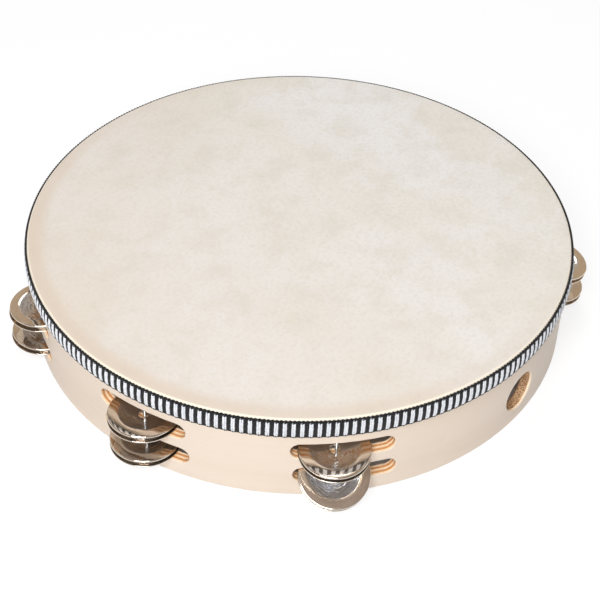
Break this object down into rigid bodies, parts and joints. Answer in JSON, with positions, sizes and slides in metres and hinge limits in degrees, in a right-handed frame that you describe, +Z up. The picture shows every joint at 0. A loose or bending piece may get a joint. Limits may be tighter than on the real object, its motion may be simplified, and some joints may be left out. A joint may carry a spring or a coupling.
{
  "type": "tambourine",
  "caption": "Round wooden tambourine with a stretched skin head, braid trim, a finger hole and pairs of loose steel jingles on pins in two rows of slots.",
  "frame": {"origin": "centre of the hoop's open bottom edge, on the hoop's axis", "axes": "+Z up along the hoop's axis towards the skin, -Y out through the finger hole"},
  "size_m": [0.3315, 0.3144, 0.055],
  "materials": {
    "outer_ply": "satin clear varnish over pale maple",
    "long_ply": "pale veneer with its grain along the hoop",
    "cross_ply": "orange-brown veneer with its grain across the hoop",
    "skin": "matt scraped goat skin",
    "braid": "black braid crossed by white cord",
    "pin_steel": "bright drawn wire",
    "jingle_steel": "satin plated stamping"
  },
  "bodies": {
    "frame": {"hoop_inner_ply": "long_ply", "hoop_inner_cross_ply": "cross_ply", "hoop_core_ply": "long_ply", "hoop_outer_cross_ply": "cross_ply", "hoop_outer_ply": "outer_ply", "drum_skin": "skin", "braid_trim": "braid", "jingle_pin_1": "pin_steel", "jingle_pin_2": "pin_steel", "jingle_pin_3": "pin_steel", "jingle_pin_4": "pin_steel", "jingle_pin_5": "pin_steel", "jingle_pin_6": "pin_steel", "jingle_pin_7": "pin_steel", "jingle_pin_8": "pin_steel"},
    "jingle_1_upper_bottom": {"jingle_1_upper_bottom": "jingle_steel"},
    "jingle_1_upper_top": {"jingle_1_upper_top": "jingle_steel"},
    "jingle_2_upper_bottom": {"jingle_2_upper_bottom": "jingle_steel"},
    "jingle_2_upper_top": {"jingle_2_upper_top": "jingle_steel"},
    "jingle_3_upper_bottom": {"jingle_3_upper_bottom": "jingle_steel"},
    "jingle_3_upper_top": {"jingle_3_upper_top": "jingle_steel"},
    "jingle_4_upper_bottom": {"jingle_4_upper_bottom": "jingle_steel"},
    "jingle_4_upper_top": {"jingle_4_upper_top": "jingle_steel"},
    "jingle_5_upper_bottom": {"jingle_5_upper_bottom": "jingle_steel"},
    "jingle_5_upper_top": {"jingle_5_upper_top": "jingle_steel"},
    "jingle_6_upper_bottom": {"jingle_6_upper_bottom": "jingle_steel"},
    "jingle_6_upper_top": {"jingle_6_upper_top": "jingle_steel"},
    "jingle_7_upper_bottom": {"jingle_7_upper_bottom": "jingle_steel"},
    "jingle_7_upper_top": {"jingle_7_upper_top": "jingle_steel"},
    "jingle_8_upper_bottom": {"jingle_8_upper_bottom": "jingle_steel"},
    "jingle_8_upper_top": {"jingle_8_upper_top": "jingle_steel"},
    "jingle_1_lower_bottom": {"jingle_1_lower_bottom": "jingle_steel"},
    "jingle_1_lower_top": {"jingle_1_lower_top": "jingle_steel"},
    "jingle_2_lower_bottom": {"jingle_2_lower_bottom": "jingle_steel"},
    "jingle_2_lower_top": {"jingle_2_lower_top": "jingle_steel"},
    "jingle_3_lower_bottom": {"jingle_3_lower_bottom": "jingle_steel"},
    "jingle_3_lower_top": {"jingle_3_lower_top": "jingle_steel"},
    "jingle_4_lower_bottom": {"jingle_4_lower_bottom": "jingle_steel"},
    "jingle_4_lower_top": {"jingle_4_lower_top": "jingle_steel"},
    "jingle_5_lower_bottom": {"jingle_5_lower_bottom": "jingle_steel"},
    "jingle_5_lower_top": {"jingle_5_lower_top": "jingle_steel"},
    "jingle_6_lower_bottom": {"jingle_6_lower_bottom": "jingle_steel"},
    "jingle_6_lower_top": {"jingle_6_lower_top": "jingle_steel"},
    "jingle_7_lower_bottom": {"jingle_7_lower_bottom": "jingle_steel"},
    "jingle_7_lower_top": {"jingle_7_lower_top": "jingle_steel"},
    "jingle_8_lower_bottom": {"jingle_8_lower_bottom": "jingle_steel"},
    "jingle_8_lower_top": {"jingle_8_lower_top": "jingle_steel"}
  },
  "joints": [
    {"name": "jingle_1_upper_bottom_rattle", "type": "slide", "parent": "frame", "child": "jingle_1_upper_bottom", "axis": [0, 0, 1], "range_m": [0, 0.00158]},
    {"name": "jingle_1_upper_top_rattle", "type": "slide", "parent": "jingle_1_upper_bottom", "child": "jingle_1_upper_top", "axis": [0, 0, 1], "range_m": [0, 0.00237]},
    {"name": "jingle_2_upper_bottom_rattle", "type": "slide", "parent": "frame", "child": "jingle_2_upper_bottom", "axis": [0, 0, 1], "range_m": [0, 0.0022]},
    {"name": "jingle_2_upper_top_rattle", "type": "slide", "parent": "jingle_2_upper_bottom", "child": "jingle_2_upper_top", "axis": [0, 0, 1], "range_m": [0, 0.00328]},
    {"name": "jingle_3_upper_bottom_rattle", "type": "slide", "parent": "frame", "child": "jingle_3_upper_bottom", "axis": [0, 0, 1], "range_m": [0, 0.00223]},
    {"name": "jingle_3_upper_top_rattle", "type": "slide", "parent": "jingle_3_upper_bottom", "child": "jingle_3_upper_top", "axis": [0, 0, 1], "range_m": [0, 0.00333]},
    {"name": "jingle_4_upper_bottom_rattle", "type": "slide", "parent": "frame", "child": "jingle_4_upper_bottom", "axis": [0, 0, 1], "range_m": [0, 0.00215]},
    {"name": "jingle_4_upper_top_rattle", "type": "slide", "parent": "jingle_4_upper_bottom", "child": "jingle_4_upper_top", "axis": [0, 0, 1], "range_m": [0, 0.0032]},
    {"name": "jingle_5_upper_bottom_rattle", "type": "slide", "parent": "frame", "child": "jingle_5_upper_bottom", "axis": [0, 0, 1], "range_m": [0, 0.00221]},
    {"name": "jingle_5_upper_top_rattle", "type": "slide", "parent": "jingle_5_upper_bottom", "child": "jingle_5_upper_top", "axis": [0, 0, 1], "range_m": [0, 0.00331]},
    {"name": "jingle_6_upper_bottom_rattle", "type": "slide", "parent": "frame", "child": "jingle_6_upper_bottom", "axis": [0, 0, 1], "range_m": [0, 0.00228]},
    {"name": "jingle_6_upper_top_rattle", "type": "slide", "parent": "jingle_6_upper_bottom", "child": "jingle_6_upper_top", "axis": [0, 0, 1], "range_m": [0, 0.0034]},
    {"name": "jingle_7_upper_bottom_rattle", "type": "slide", "parent": "frame", "child": "jingle_7_upper_bottom", "axis": [0, 0, 1], "range_m": [0, 0.00203]},
    {"name": "jingle_7_upper_top_rattle", "type": "slide", "parent": "jingle_7_upper_bottom", "child": "jingle_7_upper_top", "axis": [0, 0, 1], "range_m": [0, 0.00303]},
    {"name": "jingle_8_upper_bottom_rattle", "type": "slide", "parent": "frame", "child": "jingle_8_upper_bottom", "axis": [0, 0, 1], "range_m": [0, 0.00189]},
    {"name": "jingle_8_upper_top_rattle", "type": "slide", "parent": "jingle_8_upper_bottom", "child": "jingle_8_upper_top", "axis": [0, 0, 1], "range_m": [0, 0.00282]},
    {"name": "jingle_1_lower_bottom_rattle", "type": "slide", "parent": "frame", "child": "jingle_1_lower_bottom", "axis": [0, 0, 1], "range_m": [0, 0.00189]},
    {"name": "jingle_1_lower_top_rattle", "type": "slide", "parent": "jingle_1_lower_bottom", "child": "jingle_1_lower_top", "axis": [0, 0, 1], "range_m": [0, 0.00282]},
    {"name": "jingle_2_lower_bottom_rattle", "type": "slide", "parent": "frame", "child": "jingle_2_lower_bottom", "axis": [0, 0, 1], "range_m": [0, 0.00222]},
    {"name": "jingle_2_lower_top_rattle", "type": "slide", "parent": "jingle_2_lower_bottom", "child": "jingle_2_lower_top", "axis": [0, 0, 1], "range_m": [0, 0.00333]},
    {"name": "jingle_3_lower_bottom_rattle", "type": "slide", "parent": "frame", "child": "jingle_3_lower_bottom", "axis": [0, 0, 1], "range_m": [0, 0.0021]},
    {"name": "jingle_3_lower_top_rattle", "type": "slide", "parent": "jingle_3_lower_bottom", "child": "jingle_3_lower_top", "axis": [0, 0, 1], "range_m": [0, 0.00314]},
    {"name": "jingle_4_lower_bottom_rattle", "type": "slide", "parent": "frame", "child": "jingle_4_lower_bottom", "axis": [0, 0, 1], "range_m": [0, 0.00219]},
    {"name": "jingle_4_lower_top_rattle", "type": "slide", "parent": "jingle_4_lower_bottom", "child": "jingle_4_lower_top", "axis": [0, 0, 1], "range_m": [0, 0.00328]},
    {"name": "jingle_5_lower_bottom_rattle", "type": "slide", "parent": "frame", "child": "jingle_5_lower_bottom", "axis": [0, 0, 1], "range_m": [0, 0.00216]},
    {"name": "jingle_5_lower_top_rattle", "type": "slide", "parent": "jingle_5_lower_bottom", "child": "jingle_5_lower_top", "axis": [0, 0, 1], "range_m": [0, 0.00322]},
    {"name": "jingle_6_lower_bottom_rattle", "type": "slide", "parent": "frame", "child": "jingle_6_lower_bottom", "axis": [0, 0, 1], "range_m": [0, 0.00216]},
    {"name": "jingle_6_lower_top_rattle", "type": "slide", "parent": "jingle_6_lower_bottom", "child": "jingle_6_lower_top", "axis": [0, 0, 1], "range_m": [0, 0.00324]},
    {"name": "jingle_7_lower_bottom_rattle", "type": "slide", "parent": "frame", "child": "jingle_7_lower_bottom", "axis": [0, 0, 1], "range_m": [0, 0.00217]},
    {"name": "jingle_7_lower_top_rattle", "type": "slide", "parent": "jingle_7_lower_bottom", "child": "jingle_7_lower_top", "axis": [0, 0, 1], "range_m": [0, 0.00324]},
    {"name": "jingle_8_lower_bottom_rattle", "type": "slide", "parent": "frame", "child": "jingle_8_lower_bottom", "axis": [0, 0, 1], "range_m": [0, 0.00023]},
    {"name": "jingle_8_lower_top_rattle", "type": "slide", "parent": "jingle_8_lower_bottom", "child": "jingle_8_lower_top", "axis": [0, 0, 1], "range_m": [0, 0.00033]}
  ]
}
